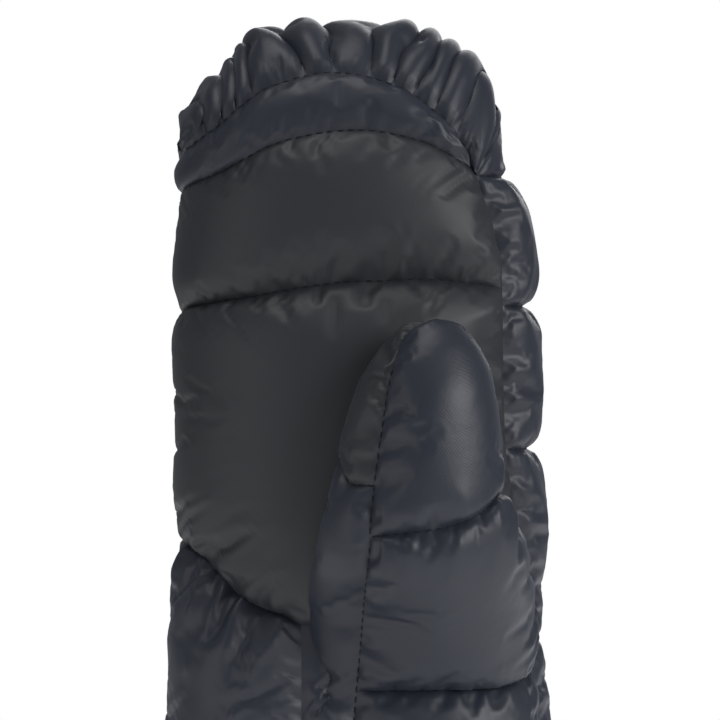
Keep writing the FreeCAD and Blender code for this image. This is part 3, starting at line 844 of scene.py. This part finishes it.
def ruffle_place(walked, over):
    """walked is the share of the cap's edge. over climbs from it, over the rim, to the back."""
    walked, over = np.broadcast_arrays(walked, over)
    across = np.interp(walked * edge_length[-1], edge_length, edge_shares)
    front = front_place(across, flow(cap_edge, across))
    hub = np.array([flow(middle_x_at, TIP), 0, DOME_FOOT - 6])
    turn = np.arctan2(front[..., 2] - hub[2], front[..., 0] - hub[0])
    leaning = np.degrees(turn)
    back_angle = flow(back_angle_at, leaning)
    near, far = side_span(TIP_SEAM)
    back_angle = np.clip(back_angle, far - 360, near)
    start, stop = rise(0, 0.1, walked), rise(0, 0.1, 1 - walked)
    back_angle = near + (back_angle - near) * start
    back_angle = (far - 360) + (back_angle - (far - 360)) * stop
    back = hand_form(back_angle, TIP_SEAM)
    wide = flow(half_width_at, DOME_FOOT) - RUFFLE_INSET - 1.5
    wide = wide - LITTLE_FINGER_SIDE_NARROWER * rise(105, 150, leaning)
    wide = wide + THUMB_SIDE_WIDER * (1 - rise(30, 85, leaning))
    shoulder = SHOULDER_RISE * rise(95, 118, leaning) * (1 - rise(135, 165, leaning))
    tall = TIP - DOME_FOOT - RUFFLE_INSET
    climb = rise(0, 0.17, walked) ** 0.8 * rise(0, 0.14, 1 - walked) ** 0.8
    rim = np.stack([
        flow(middle_x_at, TIP) + wide * np.sign(np.cos(turn)) * np.abs(np.cos(turn)) ** ROUNDING,
        2 + 0 * across,
        TIP_SEAM + shoulder + (tall - 4) * np.maximum(np.sin(turn), 0) ** ROUNDING,
    ], -1)
    rim = rim * climb[..., None] + (front + back) / 2 * (1 - climb[..., None])
    half = np.clip(over / RIM_AT, 0, 1)[..., None]
    rest = np.clip((over - RIM_AT) / 0.58, 0, 1)[..., None]
    forward = np.stack([0 * across, -5 - 9 * climb, 4 * climb], -1)
    first = front * (1 - half) ** 2 + 2 * (rim + forward) * half * (1 - half) + rim * half**2
    behind_z = rim[..., 2] * 0.55 + back[..., 2] * 0.45 + 9 * climb
    behind = np.stack([rim[..., 0], back[..., 1] - 1, behind_z], -1)
    second = rim * (1 - rest) ** 2 + 2 * behind * rest * (1 - rest) + back * rest**2
    return np.where(over[..., None] < RIM_AT, first, second)


def ruffle_folds(grid, seed):
    """Thirteen uneven folds, deep over the rim, faint where the ruffle meets the back."""
    draw = np.random.default_rng(seed)
    share = np.linspace(0, 1, grid.shape[0])[:, None]
    over = np.linspace(0, 1, grid.shape[1])[None, :]
    phase = RUFFLE_FOLDS * share + 0.5 * wander(share, 0.37, draw)
    phase = phase + 0.16 * wander(share + 0.5 * over, 0.22, draw)
    lobes = np.abs(np.sin(np.pi * phase)) ** 0.75
    tall = FOLD_TALL * (1 + 0.35 * wander(share, 0.23, draw))
    over_rim = np.sqrt(np.clip(over / 0.16, 0, 1)) * (1 - rise(0.55, 1.0, over))
    on_back = 0.22 * np.sqrt(np.clip((1 - over) / 0.12, 0, 1)) * rise(0.5, 0.8, over)
    fade = over_rim + on_back
    ends = rise(0.02, 0.16, share) * rise(0, 0.1, 1 - share)
    return (lobes - 0.45) * tall * fade * ends


ruffle = ruffle_place(np.linspace(0, 1, 150)[:, None], np.linspace(0, 1, 34)[None, :])
ruffle = ruffle + outward(ruffle, hand_core) * ruffle_folds(ruffle, 31)[..., None]
sew_panel(
    "fingertip_ruffle", ruffle, hand_core, SHELL, "fingers",
    ["fingertip_back_baffle", "fingers_back_fill"], 2.0,
    {"bottom": 8, "top": 20, "first": 40, "last": 12}, [],
    [("bottom", 4.2, 0.5, 5), ("top", 3.8, 0.35, 5)], seed=32, pressure=3.0, growth=0.04,
)

# %% [markdown]
# ## Thumb, thumb root and gusset
# One long seam runs from the thumb's tip to the hem, a little to the left of its middle. On the
# outer side lie three panels: the thumb's own, the root between its two cross seams, and the
# gusset down to the hem. On the inner side a long strip climbs from the hem and is capped by
# the grip patch.

# %% Cross seams of the thumb
gusset_seam = ((0, 69), (0.4, 69.3), (0.7, 72.5), (0.92, 79.5), (1, 82.4))
root_seam = ((0, 122.6), (0.24, 125), (0.41, 129), (0.62, 136), (0.8, 137), (1, 134))
grip_seam = ((-1, 151), (-0.6, 151), (-0.31, 148.5), (-0.12, 140), (0, 139.6))

# %% Gusset and root
sew_panel(
    "thumb_gusset", lay_out(thumb_place, HEM, gusset_seam, 40, 28), thumb_core, SHELL,
    "bend_wrist", ["cuff_thumb_gusset"], 3.0,
    {"top": 14, "bottom": 14, "first": 12, "last": 12},
    [("top", 12, 1.2, 14), ("bottom", 10, 1.0, 12), ("first", 16, 0.9, 9)],
    [("top", 3.6, 0.35, 4), ("bottom", 4, 0.3, 4), ("first", 3.6, 0.3, 4)],
    seed=41,
)
sew_panel(
    "thumb_root", lay_out(thumb_place, gusset_seam, root_seam, 56, 30), thumb_core, SHELL,
    "bend_wrist", ["thumb_root_panel", "thumb_root_fill"], 3.5,
    {"top": 12, "bottom": 12, "first": 12, "last": 10},
    [("top", 13, 1.1, 14), ("bottom", 14, 0.9, 12), ("first", 15, 0.9, 9), ("last", 9, 1.4, 16)],
    [("top", 3.6, 0.35, 4), ("bottom", 3.6, 0.35, 4), ("first", 3.6, 0.3, 4)],
    seed=42,
)

# %% Outer thumb panel
sew_panel(
    "thumb_outer", lay_out(thumb_place, root_seam, THUMB_TIP, 52, 36, crowd=1.5), thumb_core,
    SHELL, "bend_thumb", ["thumb_outer_panel", "thumb_fill"], 3.0,
    {"top": 4, "bottom": 12, "first": 10, "last": 10},
    [("bottom", 14, 1.0, 13), ("first", 14, 1.1, 10), ("last", 14, 0.9, 9)],
    [("bottom", 3.6, 0.35, 4), ("first", 3.6, 0.35, 4)],
    seed=43, growth=0.035,
)

# %% Grip patch
sew_panel(
    "thumb_grip", lay_out(thumb_place, grip_seam, THUMB_TIP, 52, 28, -1.0, 0.0, crowd=1.5),
    thumb_core, GRIP, "bend_thumb", ["thumb_grip_patch"], 2.6,
    {"top": 4, "bottom": 10, "first": 10, "last": 9},
    [("bottom", 14, 0.8, 9), ("last", 12, 1.2, 10)],
    [("bottom", 3.6, 0.3, 4), ("last", 3.6, 0.35, 4)],
    seed=44, growth=0.035,
)

# %% Inner strip, in two lengths that share one line at the thumb's bend
strip_grid = lay_out(thumb_place, HEM, grip_seam, 40, 62, -1.0, 0.0)
strip_raised = raise_panel(
    strip_grid, thumb_core, 3.0, {"top": 12, "bottom": 12, "first": 10, "last": 9},
    [("last", 21, 0.8, 8), ("top", 14, 0.6, 9)], 45,
)
strip_raised = blow_up(strip_raised, thumb_core(strip_grid), 2.0, 0.015, bending=0.3)
strip_raised = raise_panel(
    finer(strip_raised), thumb_core, 0, {}, [("last", 3.6, 0.35, 4), ("top", 3.6, 0.3, 4)], 145
)
THUMB_SPLIT = 2 * int(0.86 * 61)
for name, cut, moves, hidden in (
    ("root_strip", strip_raised[:, : THUMB_SPLIT + 1], "bend_wrist", ["thumb_root_strip"]),
    ("thumb_strip", strip_raised[:, THUMB_SPLIT:], "bend_thumb", ["thumb_inner_panel"]),
):
    piece = grid_mesh(name, cut, thumb_core, SHELL)
    place_piece(piece, moves)
    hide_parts(*hidden)

# %% [markdown]
# ## Hem, elastic, lining and label
# The cuff ends in a folded strip with an elastic inside, so it is gathered all round. A fleece
# bag lines the mitten. It is cut in a cuff and hand part and a finger part, and the thumb has
# its own.

# %% Folded hem
HEM_FOLD = 5.0
HEM_HIDDEN = 2.6
HEM_TURNS = (-62, 250)
HEM_TALL = top_of("hem_binding") + 0.8
hem_draw = np.random.default_rng(51)
ring = np.linspace(0, 360, 289)[:-1, None]
round_fold = np.linspace(*HEM_TURNS, 21)[None, :]
hem_line = hand_form(ring + 0 * round_fold, HEM_TALL / 2 + 0 * ring)
hem_out = hem_line - np.array([0, 0, HEM_TALL / 2])
hem_out[..., 2] = 0
hem_out /= np.linalg.norm(hem_out, axis=-1, keepdims=True)
fold_waves = 1 + 0.16 * wander(ring * 1.12, 7.1, hem_draw) * np.ones_like(round_fold)
swing = np.radians(round_fold)
hem_grid = hem_line - hem_out * (HEM_FOLD - HEM_HIDDEN)
hem_grid = hem_grid + hem_out * (HEM_FOLD * np.cos(swing - np.pi / 6) * fold_waves)[..., None]
hem_half = HEM_TALL / 2
hem_drop = (hem_half - 0.4) * np.sin(swing - np.pi / 6) * (0.93 + 0.07 * fold_waves)
hem_grid[..., 2] = hem_half + 0.3 - hem_drop
hem_core = hem_line - hem_out * 0.8
hem = grid_mesh("hem_fold", hem_grid, lambda g: hem_core, HEM_CLOTH, close_round=True)
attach(hem, "cuff")
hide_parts("hem_binding", "hem_elastic")


# %% Fleece bags
LINING_INSET = 9.5
LINING_COLUMNS = 96


def fleece_bag(name, low, high, nodes, moves, seed, closed_top, rows=40):
    draw = np.random.default_rng(seed)
    share = np.linspace(0, 1, LINING_COLUMNS)[:-1, None]
    step = np.linspace(0, 1, rows)[None, :]
    rounding = np.sin(step * np.pi / 2) if closed_top else step
    height = low + (high - low) * rounding
    angle = 360 * share + 0 * step
    outer = hand_form(angle, np.minimum(height, TIP - 1) + 0 * angle)
    core = np.stack([flow(middle_x_at, height + 0 * angle), 0 * angle, height + 0 * angle], -1)
    away = outer - core
    width = np.linalg.norm(away, axis=-1, keepdims=True)
    shrink = np.clip((width - LINING_INSET) / width, 0.02, 1)
    if closed_top:
        shrink = shrink * np.cos(step * np.pi / 2 * 0.985)[..., None] ** 0.35
    soft = 0.5 * wander(angle * 1.1 + 0.2 * height, 31, draw) * (1 - 0.9 * step)
    grid = core + away * shrink + away / width * soft[..., None]
    piece = grid_mesh(name, grid, lambda g: core, FLEECE, close_round=True)
    place_piece(piece, moves)
    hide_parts(*nodes)


LINING_FOOT = 2.5
LINING_SPLIT = 166
fleece_bag(
    "cuff_hand_lining", LINING_FOOT, LINING_SPLIT, ["cuff_lining", "hand_lining", "hand_membrane"],
    "bend_wrist", 61, False, rows=60,
)
fleece_bag(
    "finger_lining", LINING_SPLIT, top_of("fingers_lining"), ["fingers_lining", "fingers_membrane"],
    "bend_fingers", 62, True,
)

# %% Fleece in the thumb
THUMB_BAG_FOOT = 134
THUMB_BAG_TALL = THUMB_TIP - 6 - THUMB_BAG_FOOT
THUMB_BAG_SHARE = 0.68
thumb_bag_steps = np.linspace(0, 1, 26)[None, :]
thumb_bag_height = THUMB_BAG_FOOT + THUMB_BAG_TALL * np.sin(thumb_bag_steps * np.pi / 2)
thumb_bag = thumb_tube(np.linspace(0, 360, 61)[:-1, None] + 0 * thumb_bag_steps, thumb_bag_height)
thumb_bag_core = thumb_core(thumb_bag)
thumb_bag_core[..., 2] = thumb_bag[..., 2]
thumb_bag = thumb_bag_core + (thumb_bag - thumb_bag_core) * THUMB_BAG_SHARE
thumb_lining = grid_mesh(
    "thumb_fleece", thumb_bag, lambda g: thumb_bag_core, FLEECE, close_round=True
)
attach(thumb_lining, "thumb")
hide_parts("thumb_lining", "thumb_membrane")

# %% Wrist elastic
ELASTIC_RIBS = 60
elastic_low, elastic_high = 79.0, 89.0
elastic_turn = np.linspace(0, 360, 361)[:-1, None]
elastic_up = np.linspace(0, 1, 9)[None, :]
elastic_height = elastic_low + elastic_up * (elastic_high - elastic_low)
elastic_grid = hand_form(elastic_turn + 0 * elastic_up, elastic_height)
elastic_core = elastic_grid * np.array([0.0, 0.0, 1.0])
elastic_away = elastic_grid - elastic_core
elastic_width = np.linalg.norm(elastic_away, axis=-1, keepdims=True)
elastic_ribs = 0.35 * np.sin(np.radians(elastic_turn * ELASTIC_RIBS)) * np.ones_like(elastic_up)
elastic_shift = elastic_ribs[..., None] - LINING_INSET + 2.5
elastic_grid = elastic_core + elastic_away * (1 + elastic_shift / elastic_width)
elastic = grid_mesh(
    "wrist_elastic_band", elastic_grid, lambda g: elastic_core, ELASTIC, close_round=True
)
place_piece(elastic, "bend_wrist")
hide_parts("wrist_elastic")

# %% Blank care label
LABEL_BACK = 3.2
LABEL_CURL = 0.9
label_low, label_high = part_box("care_label")
label_across = np.linspace(label_low.x, label_high.x, 21)[:, None] / MM
label_up = np.linspace(label_high.z, label_low.z, 25)[None, :] / MM
label_y = label_high.y / MM - LABEL_BACK - LABEL_CURL * np.sin(np.linspace(0, 2.6, 25))[None, :] ** 2
label_y = label_y - 0.25 * np.cos(label_across / 5)
label_grid = np.stack(np.broadcast_arrays(label_across, label_y + 0 * label_up, label_up), -1)
label = grid_mesh("blank_label", label_grid, lambda g: g + np.array([0, 20.0, 0]), LABEL)
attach(label, "cuff")
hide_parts("care_label")

# %% [markdown]
# ## Stitches
# Each seam is closed by a row of small lockstitches. They lie in the seam's groove, a little
# proud of it, and each is a short spindle of thread.

# %% Lockstitches
STITCH = 2.7
STITCH_GAP = 0.9
STITCH_START = 0.6
THREAD_HALF = 0.28
SPINDLE_SIDES = 5
SPINDLE = ((0, 0.25, -0.25), (0.2, 0.9, 0.14), (0.8, 0.9, 0.14), (1, 0.25, -0.25))
spindle_turns = np.arange(SPINDLE_SIDES) * 2 * np.pi / SPINDLE_SIDES


def stitch_row(name, line, core, moves):
    """Each spindle section has: the share along the stitch, its thickness, its height."""
    steps = np.linalg.norm(np.diff(line, axis=0), axis=-1)
    length = np.concatenate([[0], np.cumsum(steps)])
    inner = core(line[:, None, :])[:, 0, :]
    starts = np.arange(STITCH_START, length[-1] - STITCH, STITCH + STITCH_GAP)

    def on_line(at):
        point = np.array([np.interp(at, length, line[:, k]) for k in range(3)])
        root = np.array([np.interp(at, length, inner[:, k]) for k in range(3)])
        away = (point - root) / np.linalg.norm(point - root)
        return point, away

    points, faces = [], []
    for start in starts:
        head, away = on_line(start)
        tail = on_line(start + STITCH)[0]
        run = (tail - head) / np.linalg.norm(tail - head)
        side = np.cross(run, away)
        side /= np.linalg.norm(side)
        base = len(points)
        for share, thick, high in SPINDLE:
            middle = head + (tail - head) * share + away * high
            for turn in spindle_turns:
                spoke = side * np.cos(turn) + away * np.sin(turn)
                points.append(middle + THREAD_HALF * thick * spoke)
        for section in range(3):
            for k in range(SPINDLE_SIDES):
                a = base + section * SPINDLE_SIDES + k
                b = base + section * SPINDLE_SIDES + (k + 1) % SPINDLE_SIDES
                faces.append((a, b, b + SPINDLE_SIDES, a + SPINDLE_SIDES))
        faces.append(tuple(base + k for k in range(SPINDLE_SIDES))[::-1])
        faces.append(tuple(base + 3 * SPINDLE_SIDES + k for k in range(SPINDLE_SIDES)))
    mesh = bpy.data.meshes.new(name)
    mesh.from_pydata((np.array(points) * MM).tolist(), [], faces)
    mesh.polygons.foreach_set("use_smooth", [True] * len(faces))
    mesh.materials.append(THREAD)
    piece = bpy.data.objects.new(name, mesh)
    scene.collection.objects.link(piece)
    place_piece(piece, moves)
    print(name, len(starts), "stitches")


# %% Sew every row
long_root = np.concatenate([made["thumb_gusset"][0], made["thumb_root"][0]])
for name, line, core, moves in (
    ("stitches_cap_edge", made["fingertip_cap"][:, -1], hand_core, "fingers"),
    ("stitches_cap_seam", made["fingertip_cap"][:, 0], hand_core, "fingers"),
    ("stitches_crease", made["palm_above_crease"][:, 0], hand_core, "bend_fingers"),
    ("stitches_palm_foot", made["wrist_panel"][:, -1], hand_core, "hand"),
    ("stitches_tip_seam", made["finger_baffle"][:, -1], hand_core, "fingers"),
    ("stitches_finger_seam", made["knuckle_baffle"][:, -1], hand_core, "bend_fingers"),
    ("stitches_knuckle_seam", made["hand_baffle"][:, -1], hand_core, "hand"),
    ("stitches_wrist_seam", made["cuff_baffle"][:, -1], hand_core, "bend_wrist"),
    ("stitches_gusset", made["thumb_root"][:, 0], thumb_core, "bend_wrist"),
    ("stitches_root", made["thumb_outer"][:, 0], thumb_core, "hand"),
    ("stitches_grip", made["thumb_grip"][:, 0], thumb_core, "bend_thumb"),
    ("stitches_long_thumb", made["thumb_outer"][0], thumb_core, "bend_thumb"),
    ("stitches_long_root", long_root, thumb_core, "bend_wrist"),
):
    stitch_row(name, line, core, moves)
